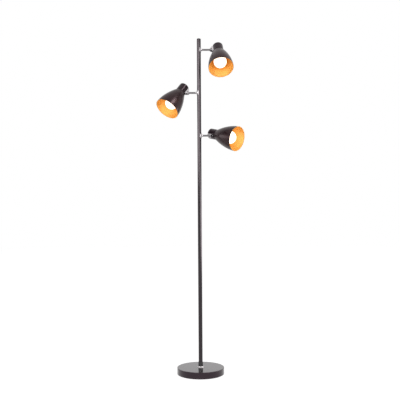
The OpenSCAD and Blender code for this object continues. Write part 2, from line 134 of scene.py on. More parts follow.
@dataclass(frozen=True)
class Extent:
    """The box of one of the frame's solids, in millimetres."""

    low: Vector
    high: Vector

    @classmethod
    def of(cls, node: str) -> "Extent":
        """Reads a solid's box from the frame.

        Args:
            node: Name of the solid.

        Returns:
            Its box at rest.
        """
        low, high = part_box(node)
        return cls(low / MM, high / MM)

    @property
    def radius(self) -> float:
        """Half the width, for a round solid that stands upright."""
        return (self.high.x - self.low.x) / 2


@dataclass(frozen=True)
class Stance:
    """Where one spot leaves the pole, and how it is turned at rest."""

    spot: Spot
    swivel: float
    tilt: float

    @property
    def name(self) -> str:
        """The spot's share of the names of its pieces."""
        return self.spot.value

    @property
    def knuckle(self) -> Vector:
        """Centre of the knuckle, where the frame has its tilt joint."""
        name = f"tilt_{self.name}"
        tilt = next(joint for joint in frame["joints"] if joint["name"] == name)
        return Vector(tilt["pos_m"]) / MM

    @property
    def reach(self) -> float:
        """Distance of the knuckle from the pole's axis."""
        return abs(self.knuckle.x)

    @property
    def upright(self) -> Matrix:
        """Frame of the boss: x out of the pole along the arm, z up."""
        turn = 0.0 if self.knuckle.x > 0 else math.pi
        return Matrix.Translation((0, 0, self.knuckle.z)) @ Matrix.Rotation(turn, 4, "Z")

    @property
    def arm(self) -> Matrix:
        """Frame of the arm: x along it, turned by the swivel."""
        return self.upright @ Matrix.Rotation(math.radians(self.swivel), 4, "X")

    @property
    def head(self) -> Matrix:
        """Frame of the head: x from the knuckle to the head's axis, z back from the mouth."""
        tilt = Matrix.Rotation(math.radians(-self.tilt), 4, "Y")
        return self.arm @ Matrix.Translation((self.reach, 0, 0)) @ tilt


# ---- finishes --------------------------------------------------------------------------------


class Source(Enum):
    """Where a pattern takes its place from, in millimetres."""

    DRAWN = "the piece's own drawing, kept in an attribute"
    PLACED = "object coordinates, for solids that come with the frame"


class Wiring:
    """A node tree under construction."""

    def __init__(self, tree: bpy.types.NodeTree) -> None:
        """Takes over a tree and empties it."""
        self.tree = tree
        self.tree.nodes.clear()

    def feed(self, socket: bpy.types.NodeSocket, value: object) -> None:
        """Feeds an input with another node's output, a plain colour or a plain value."""
        if isinstance(value, bpy.types.NodeSocket):
            self.tree.links.new(value, socket)
        elif socket.type == "RGBA":
            socket.default_value = (*value, 1.0)
        else:
            socket.default_value = value

    def node(
        self, kind: str, inputs: dict[int | str, object] | None = None, **settings: object
    ) -> bpy.types.Node:
        """Adds a node.

        Args:
            kind: The node's type.
            inputs: What feeds its inputs, by their number or name.
            settings: Values for its own properties.

        Returns:
            The new node.
        """
        node = self.tree.nodes.new(kind)
        for name, value in settings.items():
            setattr(node, name, value)
        for key, value in (inputs or {}).items():
            self.feed(node.inputs[key], value)
        return node


class Recipe(Wiring):
    """A material under construction: one principled shader and what feeds it."""

    def __init__(self, name: str, source: Source) -> None:
        """Starts an empty material.

        Args:
            name: Name of the material.
            source: Where its patterns take their place from.
        """
        self.material = bpy.data.materials.new(name)
        self.material.use_nodes = True
        super().__init__(self.material.node_tree)
        self.shader = self.node("ShaderNodeBsdfPrincipled")
        self.node("ShaderNodeOutputMaterial", {"Surface": self.shader.outputs["BSDF"]})
        self.place = self._place(source)

    def _place(self, source: Source) -> bpy.types.NodeSocket:
        """The place of a point of the piece, in millimetres."""
        if source is Source.DRAWN:
            return self.node("ShaderNodeAttribute", attribute_name=DRAWN_AT).outputs["Vector"]
        metres = self.node("ShaderNodeTexCoord").outputs["Object"]
        return self.scaled(metres, (1 / MM, 1 / MM, 1 / MM))

    def scaled(self, place: bpy.types.NodeSocket, factors: Triple) -> bpy.types.NodeSocket:
        """Multiplies a place by a factor along each axis."""
        node = self.node("ShaderNodeVectorMath", {0: place, 1: factors}, operation="MULTIPLY")
        return node.outputs["Vector"]

    def set(self, **inputs: object) -> None:
        """Feeds the shader's own inputs, with underscores for spaces in their names."""
        for name, value in inputs.items():
            self.feed(self.shader.inputs[name.replace("_", " ")], value)

    def _held(
        self, operation: str, a: bpy.types.NodeSocket, b: bpy.types.NodeSocket
    ) -> bpy.types.NodeSocket:
        """One step of arithmetic on two patterns, held between 0 and 1."""
        node = self.node("ShaderNodeMath", {0: a, 1: b}, operation=operation, use_clamp=True)
        return node.outputs[0]

    def total(self, a: bpy.types.NodeSocket, b: bpy.types.NodeSocket) -> bpy.types.NodeSocket:
        """The sum of two patterns, at most 1."""
        return self._held("ADD", a, b)

    def product(self, a: bpy.types.NodeSocket, b: bpy.types.NodeSocket) -> bpy.types.NodeSocket:
        """The product of two patterns."""
        return self._held("MULTIPLY", a, b)

    def noise(
        self, size: float, detail: float = 2.0, squeeze: Triple = (1, 1, 1)
    ) -> bpy.types.NodeSocket:
        """Soft noise.

        Args:
            size: Width of one patch, in millimetres.
            detail: How many finer layers lie on it.
            squeeze: How the pattern is squeezed along each axis; 0 draws it out for ever.

        Returns:
            The noise, from 0 to 1.
        """
        place = self.scaled(self.place, squeeze)
        inputs = {"Vector": place, "Scale": 1 / size, "Detail": detail}
        return self.node("ShaderNodeTexNoise", inputs).outputs["Fac"]

    def specks(self, size: float, share: float) -> bpy.types.NodeSocket:
        """Small round specks with soft edges.

        Args:
            size: Distance from speck to speck, in millimetres.
            share: Radius of a speck, as a share of that distance.

        Returns:
            1 on a speck, 0 off it.
        """
        cells = self.node("ShaderNodeTexVoronoi", {"Vector": self.place, "Scale": 1 / size})
        return self.span(cells.outputs["Distance"], (share, share * 0.6))

    def span(
        self, value: bpy.types.NodeSocket, source: Point, target: Point = (0.0, 1.0)
    ) -> bpy.types.NodeSocket:
        """Maps one range of values to another, and holds its ends."""
        names = ("Value", "From Min", "From Max", "To Min", "To Max")
        inputs = dict(zip(names, (value, *source, *target)))
        return self.node("ShaderNodeMapRange", inputs).outputs["Result"]

    def height(self) -> bpy.types.NodeSocket:
        """Height of a point in its piece's drawing, in millimetres."""
        return self.node("ShaderNodeSeparateXYZ", {0: self.place}).outputs["Z"]

    def blend(
        self,
        share: bpy.types.NodeSocket,
        a: Triple | bpy.types.NodeSocket,
        b: Triple | bpy.types.NodeSocket,
    ) -> bpy.types.NodeSocket:
        """Mixes two colours by a share."""
        return self.node("ShaderNodeMix", {0: share, 6: a, 7: b}, data_type="RGBA").outputs[2]

    def emboss(self, *layers: tuple[bpy.types.NodeSocket, float]) -> None:
        """Adds relief to the surface.

        Args:
            layers: Pairs of a height from 0 to 1 and its depth in millimetres.
        """
        below: dict[str, bpy.types.NodeSocket] = {}
        for height, depth in layers:
            inputs = {"Distance": depth * MM, "Height": height, **below}
            below = {"Normal": self.node("ShaderNodeBump", inputs).outputs["Normal"]}
        self.set(**below)


class Finish:
    """What all finishes share: the way to become a material."""

    def brew(self, name: str, source: Source) -> bpy.types.Material:
        """Makes the material.

        Args:
            name: Name of the material.
            source: Where its patterns take their place from.

        Returns:
            The finished material.
        """
        recipe = Recipe(name, source)
        self.apply(recipe)
        return recipe.material

    def apply(self, recipe: Recipe) -> None:
        """Feeds the recipe's shader, in each finish's own way."""
        raise NotImplementedError


@dataclass(frozen=True)
class Lacquer(Finish):
    """Sprayed or dipped paint on metal: orange peel, handling marks and a few dust specks."""

    color: Triple
    faded: Triple
    roughness: float
    handled: float = 0.04
    peel: float = 0.002
    clear: float = 0.0
    clear_roughness: float = 0.1
    ior: float = 1.5
    metallic: float = 0.0
    spun: float = 0.0
    tint: Triple = (1.0, 1.0, 1.0)

    def apply(self, recipe: Recipe) -> None:
        """Feeds the shader with paint.

        Args:
            recipe: The material under construction.
        """
        drift = recipe.span(recipe.noise(34, 3), (0.35, 0.65))
        dust = recipe.product(recipe.specks(7.0, 0.035), recipe.noise(40, 1))
        dusty = tuple(min(1.0, channel + 0.08) for channel in self.faded)
        fine = recipe.span(recipe.noise(2.2), (0.3, 0.7), (self.roughness, self.roughness + 0.04))
        marks = recipe.span(recipe.noise(16, 4), (0.48, 0.72), (0.0, self.handled))
        recipe.set(
            Base_Color=recipe.blend(dust, recipe.blend(drift, self.color, self.faded), dusty),
            Roughness=recipe.total(fine, marks),
            Metallic=self.metallic,
            IOR=self.ior,
            Coat_Weight=self.clear,
            Coat_Roughness=self.clear_roughness,
            Specular_Tint=self.tint,
        )
        layers = [(recipe.noise(1.3), self.peel), (recipe.noise(9, 1), self.peel * 2)]
        if self.spun:
            layers.append((recipe.noise(0.9, 1, (0, 0, 1)), self.spun))
        recipe.emboss(*layers)


@dataclass(frozen=True)
class Plating(Finish):
    """Plated or bare metal: fine polishing lines, hazy finger marks and faint stains."""

    color: Triple
    stained: Triple
    roughness: float
    haze: float = 0.08
    polish: float = 0.001
    lines: Triple = (1, 1, 0.05)
    line_width: float = 0.5

    def apply(self, recipe: Recipe) -> None:
        """Feeds the shader with metal.

        Args:
            recipe: The material under construction.
        """
        stain = recipe.span(recipe.noise(22, 4), (0.45, 0.75))
        marks = recipe.span(recipe.noise(12, 3), (0.5, 0.75), (0.0, self.haze))
        brushed = recipe.noise(self.line_width, 2, self.lines)
        sheen = recipe.span(brushed, (0.25, 0.75), (self.roughness, self.roughness + 0.06))
        recipe.set(
            Base_Color=recipe.blend(stain, self.color, self.stained),
            Roughness=recipe.total(sheen, marks),
            Metallic=1.0,
        )
        recipe.emboss((brushed, self.polish), (recipe.noise(14, 1), self.polish * 3))


@dataclass(frozen=True)
class Casting(Finish):
    """Rough cast iron with a few rust blooms."""

    color: Triple
    rust: Triple

    def apply(self, recipe: Recipe) -> None:
        """Feeds the shader with cast iron.

        Args:
            recipe: The material under construction.
        """
        bloom = recipe.span(recipe.noise(9, 5), (0.56, 0.72), (0.0, 0.8))
        recipe.set(
            Base_Color=recipe.blend(bloom, self.color, self.rust),
            Roughness=recipe.span(recipe.noise(3, 3), (0.3, 0.7), (0.55, 0.85)),
            Metallic=0.6,
        )
        recipe.emboss((recipe.noise(1.6, 4), 0.25))


@dataclass(frozen=True)
class Felt(Finish):
    """Pressed felt: short fibres, a slight nap and lint."""

    color: Triple
    lint: Triple

    def apply(self, recipe: Recipe) -> None:
        """Feeds the shader with felt.

        Args:
            recipe: The material under construction.
        """
        warp, weft = (recipe.noise(0.4, 3, squeeze) for squeeze in ((1, 0.2, 1), (0.2, 1, 1)))
        fibres = recipe.product(warp, weft)
        share = recipe.span(fibres, (0.2, 0.42))
        recipe.set(
            Base_Color=recipe.blend(share, self.color, self.lint),
            Roughness=recipe.span(fibres, (0.1, 0.5), (0.85, 1.0)),
            Sheen_Weight=0.35,
            Sheen_Roughness=0.5,
        )
        recipe.emboss((fibres, 0.3))


@dataclass(frozen=True)
class Moulding(Finish):
    """Moulded plastic or rubber with a fine spark texture."""

    color: Triple
    worn: Triple
    roughness: float
    grain: float = 0.02
    soft: float = 0.0

    def apply(self, recipe: Recipe) -> None:
        """Feeds the shader with plastic.

        Args:
            recipe: The material under construction.
        """
        wear = recipe.span(recipe.noise(11, 4), (0.45, 0.75))
        grain = recipe.noise(0.35)
        recipe.set(
            Base_Color=recipe.blend(wear, self.color, self.worn),
            Roughness=recipe.span(grain, (0.3, 0.7), (self.roughness, self.roughness + 0.12)),
            Subsurface_Weight=self.soft,
            Subsurface_Scale=2 * MM,
        )
        recipe.emboss((grain, self.grain))


@dataclass(frozen=True)
class LitOpal(Finish):
    """Opal plastic of a lit bulb: white over the front, warmer near its collar."""

    glow: Triple
    warm: Triple
    strength: float
    front: float
    back: float

    def apply(self, recipe: Recipe) -> None:
        """Feeds the shader with lit opal plastic.

        Args:
            recipe: The material under construction.
        """
        cloud = recipe.span(recipe.noise(18), (0.3, 0.7), (0.0, 0.12))
        share = recipe.span(recipe.height(), (self.front, self.back), (0.0, 0.88))
        recipe.set(
            Emission_Color=recipe.blend(recipe.total(share, cloud), self.glow, self.warm),
            Emission_Strength=self.strength,
            Base_Color=recipe.blend(cloud, (0.94, 0.93, 0.90), (0.88, 0.86, 0.82)),
            Roughness=recipe.span(recipe.noise(5), (0.3, 0.7), (0.32, 0.42)),
        )
        recipe.emboss((recipe.noise(0.8), 0.01))


FINISHES: dict[Slot | Coat, Finish] = {
    Slot.BASE: Lacquer(
        color=(0.005, 0.001, 0.0035),
        faded=(0.007, 0.002, 0.005),
        roughness=0.13,
        handled=0.05,
        clear=0.35,
        clear_roughness=0.05,
        ior=1.36,
        tint=(1.0, 0.72, 0.88),
    ),
    Slot.NECK: Lacquer(
        color=(0.012, 0.007, 0.009),
        faded=(0.014, 0.009, 0.011),
        roughness=0.22,
        ior=1.35,
        tint=(1.0, 0.76, 0.84),
    ),
    Slot.SHADE: Lacquer(
        color=(0.011, 0.004, 0.005),
        faded=(0.014, 0.006, 0.007),
        roughness=0.26,
        ior=1.36,
        spun=0.001,
        tint=(1.0, 0.67, 0.71),
    ),
    Coat.GOLD: Lacquer(
        color=(0.83, 0.44, 0.095),
        faded=(0.79, 0.41, 0.08),
        roughness=0.3,
        peel=0.001,
        metallic=0.3,
        spun=0.001,
    ),
    Slot.NICKEL: Plating(
        color=(0.046, 0.040, 0.043),
        stained=(0.041, 0.035, 0.038),
        roughness=0.10,
        haze=0.04,
        polish=0.0003,
        lines=(1, 1, 0.01),
    ),
    Slot.CHROME: Plating((0.20, 0.19, 0.195), (0.17, 0.16, 0.165), roughness=0.14),
    # Paler copies of the arm's chrome for the bracket, the collar and the bosses: painted highlight.
    Coat.BRIGHT: Plating((0.62, 0.59, 0.60), (0.54, 0.51, 0.52), roughness=0.26),
    Coat.BOSS: Plating((0.42, 0.40, 0.41), (0.36, 0.34, 0.35), roughness=0.18),
    Slot.ZINC: Plating((0.60, 0.61, 0.63), (0.50, 0.50, 0.47), 0.3, haze=0.12, polish=0.004),
    Slot.CAP: Plating((0.72, 0.70, 0.64), (0.60, 0.57, 0.50), 0.25, haze=0.1, polish=0.003),
    Slot.WEIGHT: Casting((0.10, 0.10, 0.105), rust=(0.16, 0.07, 0.035)),
    Slot.PAD: Felt((0.012, 0.012, 0.014), lint=(0.05, 0.05, 0.055)),
    Slot.BLACK_PLASTIC: Moulding((0.018, 0.018, 0.019), (0.035, 0.035, 0.036), roughness=0.42),
    Slot.WHITE_PLASTIC: Moulding(
        (0.80, 0.80, 0.77), (0.72, 0.71, 0.66), roughness=0.38, grain=0.01, soft=0.1
    ),
    Slot.SHEATH: Moulding((0.022, 0.022, 0.024), (0.05, 0.05, 0.052), 0.55, grain=0.03),
    Slot.SLEEVE: Moulding((0.012, 0.010, 0.011), (0.02, 0.018, 0.019), 0.14, grain=0.004),
    Slot.GLOBE: LitOpal(
        glow=(1.0, 0.95, 0.88), warm=(0.50, 0.33, 0.18), strength=1.75, front=-100.0, back=-68.0
    ),
}


class Paintshop:
    """Makes each finish once for each kind of place, and puts it on pieces."""

    def __init__(self) -> None:
        """Starts with nothing mixed."""
        self.mixed: dict[tuple[Slot | Coat, Source], bpy.types.Material] = {}

    def mix(self, coat: Slot | Coat, source: Source = Source.DRAWN) -> bpy.types.Material:
        """A finish as a material, made the first time it is asked for."""
        key = (coat, source)
        if key not in self.mixed:
            suffix = "" if source is Source.DRAWN else "_on_solid"
            self.mixed[key] = FINISHES[coat].brew(coat.value + suffix, source)
        return self.mixed[key]

    def paint(
        self, piece: bpy.types.Object, coat: Slot | Coat, source: Source = Source.DRAWN
    ) -> None:
        """Covers a whole piece in one finish."""
        piece.data.materials.clear()
        piece.data.materials.append(self.mix(coat, source))
        piece.data.polygons.foreach_set("material_index", [0] * len(piece.data.polygons))

    def paint_solids(self, slots: dict[str, Slot]) -> None:
        """Covers solids that keep the frame's own shape.

        Args:
            slots: The slot of each solid, by the solid's name.
        """
        for node, slot in slots.items():
            self.paint(frame["nodes"][node], slot, Source.PLACED)
            log.info("finished %s in %s", node, slot.value)


# ---- modelling -------------------------------------------------------------------------------


class Stroke(Enum):
    """What a tool does to the piece that it is put to."""

    CUT = "DIFFERENCE"
    ADD = "UNION"
    TRIM = "INTERSECT"


def arc(centre: Point, radius: float, start: float, end: float, steps: int) -> list[Point]:
    """Points along an arc.

    Args:
        centre: Centre of the arc.
        radius: Its radius.
        start: Angle of the first point.
        end: Angle of the last point.
        steps: Number of straight pieces.

    Returns:
        The points, both ends included.
    """
    angles = [math.radians(start + (end - start) * i / steps) for i in range(steps + 1)]
    return [(centre[0] + radius * math.cos(a), centre[1] + radius * math.sin(a)) for a in angles]


def side(radius: float, bottom: float, top: float, soft: float) -> list[Point]:
    """Upright outer side of a turned piece, between two rounded edges.

    Args:
        radius: Radius of the side.
        bottom: Height of the lower end.
        top: Height of the upper end.
        soft: Radius of both roundings.

    Returns:
        The points from the lower end to the upper one.
    """
    return [
        *arc((radius - soft, bottom + soft), soft, -90, 0, 4),
        *arc((radius - soft, top - soft), soft, 0, 90, 4),
    ]


class Bench:
    """The modelling steps that pieces share, each done with Blender's own operators."""

    @staticmethod
    def clear() -> None:
        """Leaves edit mode and deselects everything."""
        if bpy.context.mode != "OBJECT":
            bpy.ops.object.mode_set(mode="OBJECT")
        bpy.ops.object.select_all(action="DESELECT")

    @staticmethod
    def pick(*pieces: bpy.types.Object) -> None:
        """Selects these pieces alone and makes the first one active."""
        Bench.clear()
        for piece in pieces:
            piece.select_set(True)
        bpy.context.view_layer.objects.active = pieces[0]

    @staticmethod
    def draw(name: str, points: list[Vector]) -> bpy.types.Object:
        """Draws a line of edges from a plane merged to one vertex, and stays in edit mode.

        Args:
            name: Name of the new piece.
            points: The line's points, in millimetres.

        Returns:
            The new piece.
        """
        Bench.clear()
        bpy.ops.mesh.primitive_plane_add(size=1, location=(0, 0, 0))
        piece = bpy.context.object
        piece.name = piece.data.name = name
        bpy.ops.object.mode_set(mode="EDIT")
        bpy.ops.mesh.select_all(action="SELECT")
        bpy.ops.mesh.merge(type="CENTER")
        bpy.ops.transform.translate(value=points[0])
        for a, b in pairwise(points):
            bpy.ops.mesh.extrude_vertices_move(TRANSFORM_OT_translate={"value": b - a})
        bpy.ops.mesh.select_all(action="SELECT")
        return piece

    @staticmethod
    def close_up() -> None:
        """Merges doubles, fills open ends and turns the faces outwards, then leaves edit mode."""
        bpy.ops.mesh.select_all(action="SELECT")
        bpy.ops.mesh.remove_doubles(threshold=WELD)
        bpy.ops.mesh.fill_holes(sides=0)
        bpy.ops.mesh.select_all(action="SELECT")
        bpy.ops.mesh.normals_make_consistent(inside=False)
        bpy.ops.object.mode_set(mode="OBJECT")

    @staticmethod
    def lathe(
        name: str, profile: list[Point], steps: int = 96, start: float = 0.0, sweep: float = 360.0
    ) -> bpy.types.Object:
        """Turns a profile about the z axis.

        Args:
            name: Name of the new piece.
            profile: Points of radius and height. It closes on itself unless both ends are on
                the axis.
            steps: Number of steps round the axis.
            start: Angle at which the turn begins.
            sweep: Angle that it covers.

        Returns:
            The new piece, a closed mesh.
        """
        on_axis = profile[0][0] == 0 and profile[-1][0] == 0
        line = profile if on_axis else [*profile, profile[0]]
        turn = Matrix.Rotation(math.radians(start), 4, "Z")
        piece = Bench.draw(name, [turn @ Vector((r, 0, z)) for r, z in line])
        bpy.ops.mesh.spin(
            steps=steps, angle=math.radians(sweep), center=(0, 0, 0), axis=(0, 0, 1)
        )
        Bench.close_up()
        return piece

    @staticmethod
    def plate(name: str, outline: list[Point], thickness: float) -> bpy.types.Object:
        """Cuts a flat plate.

        Args:
            name: Name of the new piece.
            outline: Points of x and z round the plate.
            thickness: How far it goes along y from y = 0.

        Returns:
            The new piece, a closed mesh.
        """
        points = [Vector((x, 0, z)) for x, z in outline]
        piece = Bench.draw(name, [*points, points[0]])
        bpy.ops.mesh.remove_doubles(threshold=WELD)
        bpy.ops.mesh.edge_face_add()
        bpy.ops.mesh.extrude_region_move(TRANSFORM_OT_translate={"value": (0, thickness, 0)})
        Bench.close_up()
        return piece

    @staticmethod
    def rod(radius: float, low: Vector, high: Vector, sides: int = 64) -> bpy.types.Object:
        """A plain rod to cut or to add with, never a finished piece.

        Args:
            radius: Its radius.
            low: Centre of one end.
            high: Centre of the other end.
            sides: Number of sides.

        Returns:
            The rod.
        """
        Bench.clear()
        span = high - low
        bpy.ops.mesh.primitive_cylinder_add(vertices=sides, radius=radius, depth=span.length)
        rod = bpy.context.object
        turn = Vector((0, 0, 1)).rotation_difference(span).to_matrix().to_4x4()
        rod.matrix_world = Matrix.Translation((low + high) / 2) @ turn
        return rod

    @staticmethod
    def block(low: Vector, high: Vector) -> bpy.types.Object:
        """A plain block to cut with, from its lowest to its highest corner."""
        Bench.clear()
        bpy.ops.mesh.primitive_cube_add(size=1)
        block = bpy.context.object
        size = Matrix.Diagonal((*(high - low), 1))
        block.matrix_world = Matrix.Translation((low + high) / 2) @ size
        return block

    @staticmethod
    def shape(
        piece: bpy.types.Object, tool: bpy.types.Object, stroke: Stroke = Stroke.CUT
    ) -> None:
        """Puts a tool to a piece, and uses the tool up.

        Args:
            piece: The piece to change.
            tool: The rod, block, plate or turned shape that changes it.
            stroke: Whether it is cut away, added, or all that is kept.
        """
        modifier = piece.modifiers.new("shape", "BOOLEAN")
        modifier.operation = stroke.value
        modifier.solver = "EXACT"
        modifier.object = tool
        Bench.pick(piece)
        bpy.ops.object.modifier_apply(modifier=modifier.name)
        bpy.data.objects.remove(tool)

    @staticmethod
    def soften(piece: bpy.types.Object, width: float, segments: int = 2, angle: float = 40) -> None:
        """Rounds the piece's sharp edges.

        Args:
            piece: The piece.
            width: How wide each rounding is.
            segments: Faces across it.
            angle: Edges sharper than this are rounded.
        """
        modifier = piece.modifiers.new("soften", "BEVEL")
        modifier.width = width
        modifier.segments = segments
        modifier.limit_method = "ANGLE"
        modifier.angle_limit = math.radians(angle)
        modifier.use_clamp_overlap = True
        Bench.pick(piece)
        bpy.ops.object.modifier_apply(modifier=modifier.name)

    @staticmethod
    def copy(piece: bpy.types.Object, turn: Matrix) -> bpy.types.Object:
        """A second piece with its own mesh, turned in its drawing.

        Args:
            piece: The piece to copy.
            turn: How the copy's mesh is moved.

        Returns:
            The copy.
        """
        twin = piece.copy()
        twin.data = piece.data.copy()
        twin.data.transform(turn)
        bpy.context.scene.collection.objects.link(twin)
        return twin

    @staticmethod
    def merge(*pieces: bpy.types.Object) -> bpy.types.Object:
        """Joins separate shells into the first piece, as one object."""
        Bench.pick(*pieces)
        bpy.ops.object.join()
        return pieces[0]

    @staticmethod
    def settle(piece: bpy.types.Object, place: Matrix) -> None:
        """Puts a drawn piece where it belongs and smooths it.

        The drawing's coordinates stay with the mesh as an attribute, for the patterns of its
        finish, and the object ends at the origin. Large faces weigh most in the normals, so a
        long tube shines evenly up to its rounded ends.

        Args:
            piece: The piece, drawn in millimetres.
            place: Its drawing's frame, in millimetres.
        """
        drawn = piece.data.attributes.new(DRAWN_AT, "FLOAT_VECTOR", "POINT")
        drawn.data.foreach_set("vector", [c for v in piece.data.vertices for c in v.co])
        piece.matrix_world = Matrix.Scale(MM, 4) @ place
        Bench.pick(piece)
        bpy.ops.object.transform_apply(location=True, rotation=True, scale=True)
        bpy.ops.object.shade_smooth_by_angle(angle=math.radians(SMOOTH_BELOW))
        even = piece.modifiers.new("even_normals", "WEIGHTED_NORMAL")
        even.keep_sharp = True
        bpy.ops.object.modifier_apply(modifier=even.name)


@dataclass
class Assembly:
    """What every group of pieces needs: a paint shop, and the way to hand a piece over."""

    shop: Paintshop

    @property
    def body(self) -> str:
        """The body that the group's pieces ride on."""
        return Body.STAND.of()

    def hand_over(
        self,
        piece: bpy.types.Object,
        slot: Slot,
        node: str,
        place: Matrix = UPRIGHT,
        coat: Coat | None = None,
    ) -> None:
        """Settles and paints a finished piece, hangs it on its body and hides the solid that it
        stands for.

        Args:
            piece: The piece, drawn in millimetres.
            slot: The record's slot that it belongs to.
            node: The frame's solid that it stands for.
            place: Its drawing's frame.
            coat: A finish in place of the slot's.
        """
        Bench.settle(piece, place)
        self.shop.paint(piece, coat or slot)
        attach(piece, self.body)
        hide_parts(node)
        log.info("built %s, %d faces, on %s", piece.name, len(piece.data.polygons), self.body)


# ---- the stand -------------------------------------------------------------------------------


@dataclass
class Base(Assembly):
    """The round weighted base: pressed shell, felt pad, inlet and what is inside."""

    edge: float = 2.0
    wall: float = 1.5
    hem: float = 0.9
    hem_step: float = 0.4
    nipple_hole: float = 5.3
    gland_bore: float = 3.6
    gland_body: float = 5.5
    gland_flange: float = 7.5
    gland_plate: float = 1.8
    gland_play: float = 0.05
    gland_nut: float = 3.0
    gland_cutter: float = 10.0
    pad_softness: float = 0.35
    steps: int = 160
    shell_box: Extent = field(default_factory=lambda: Extent.of("base_cover"))
    pad_box: Extent = field(default_factory=lambda: Extent.of("base_pad"))
    gland_box: Extent = field(default_factory=lambda: Extent.of("cord_gland"))

    def build(self) -> None:
        """Builds the base's pieces in order."""
        self.build_shell()
        self.build_pad()
        self.build_gland()
        self.shop.paint_solids(
            {
                "base_weight": Slot.WEIGHT,
                "base_nipple": Slot.ZINC,
                "base_nut": Slot.ZINC,
                "base_washer": Slot.ZINC,
                "terminal_block": Slot.WHITE_PLASTIC,
            }
        )

    @property
    def gland_z(self) -> float:
        """Height of the inlet's axis."""
        return (self.gland_box.low.z + self.gland_box.high.z) / 2

    def build_shell(self) -> None:
        """Pressed steel shell: a hemmed lower edge, an upright skirt and a flat top."""
        radius, bottom, top = self.shell_box.radius, self.shell_box.low.z, self.shell_box.high.z
        inner, under = radius - self.wall, top - self.wall
        bend = self.edge - self.wall
        profile = [
            (self.nipple_hole, top),
            *arc((radius - self.edge, top - self.edge), self.edge, 90, 0, 8),
            *arc((radius - self.hem, bottom + self.hem), self.hem, 0, -90, 4),
            (inner - self.hem_step, bottom),
            (inner - self.hem_step, bottom + 2 * self.hem),
            (inner, bottom + 2 * self.hem + self.hem_step),
            *arc((inner - bend, under - bend), bend, 0, 90, 4),
            (self.nipple_hole, under),
        ]
        shell = Bench.lathe("pressed_shell", profile, self.steps)
        reaches = (-self.gland_cutter, self.gland_cutter)
        near, far = (Vector((0, radius + reach, self.gland_z)) for reach in reaches)
        Bench.shape(shell, Bench.rod(self.gland_body + self.gland_play, near, far))
        self.hand_over(shell, Slot.BASE, "base_cover")

    def build_pad(self) -> None:
        """Felt disc with softened edges."""
        radius, thick = self.pad_box.radius, self.pad_box.high.z
        profile = [(0, 0), *side(radius, 0, thick, thick * self.pad_softness), (0, thick)]
        self.hand_over(Bench.lathe("felt_disc", profile, self.steps), Slot.PAD, "base_pad")

    def build_gland(self) -> None:
        """Inlet bush with a rounded flange outside and a nut behind the wall."""
        radius = self.shell_box.radius
        inside, outside = self.gland_box.low.y, self.gland_box.high.y
        flange, fine, full = radius + self.gland_play, 0.5, 0.8
        front = flange + self.gland_plate
        profile = [
            (self.gland_bore, inside),
            (self.gland_body, inside),
            (self.gland_body, flange),
            *arc((self.gland_flange - fine, flange + fine), fine, -90, 0, 3),
            *arc((self.gland_flange - full, front - full), full, 0, 90, 4),
            (self.gland_body + 0.3, front),
            (self.gland_body, front + 0.2),
            *arc((self.gland_body - full, outside - full), full, 0, 90, 3),
            *arc((self.gland_bore + fine, outside - fine), fine, 90, 180, 3),
        ]
        bush = Bench.lathe("inlet_bush", profile, 64)
        nut_back = radius - self.wall - self.gland_nut - 0.3
        low, high = Vector((0, 0, nut_back)), Vector((0, 0, nut_back + self.gland_nut))
        nut = Bench.rod(self.gland_flange, low, high, 6)
        through = Vector((0, 0, radius))
        Bench.shape(nut, Bench.rod(self.gland_body - 0.2, low - Vector((0, 0, 1)), through))
        Bench.shape(bush, nut, Stroke.ADD)
        place = Matrix.Translation((0, 0, self.gland_z)) @ Matrix.Rotation(-math.pi / 2, 4, "X")
        self.hand_over(bush, Slot.BLACK_PLASTIC, "cord_gland", place)


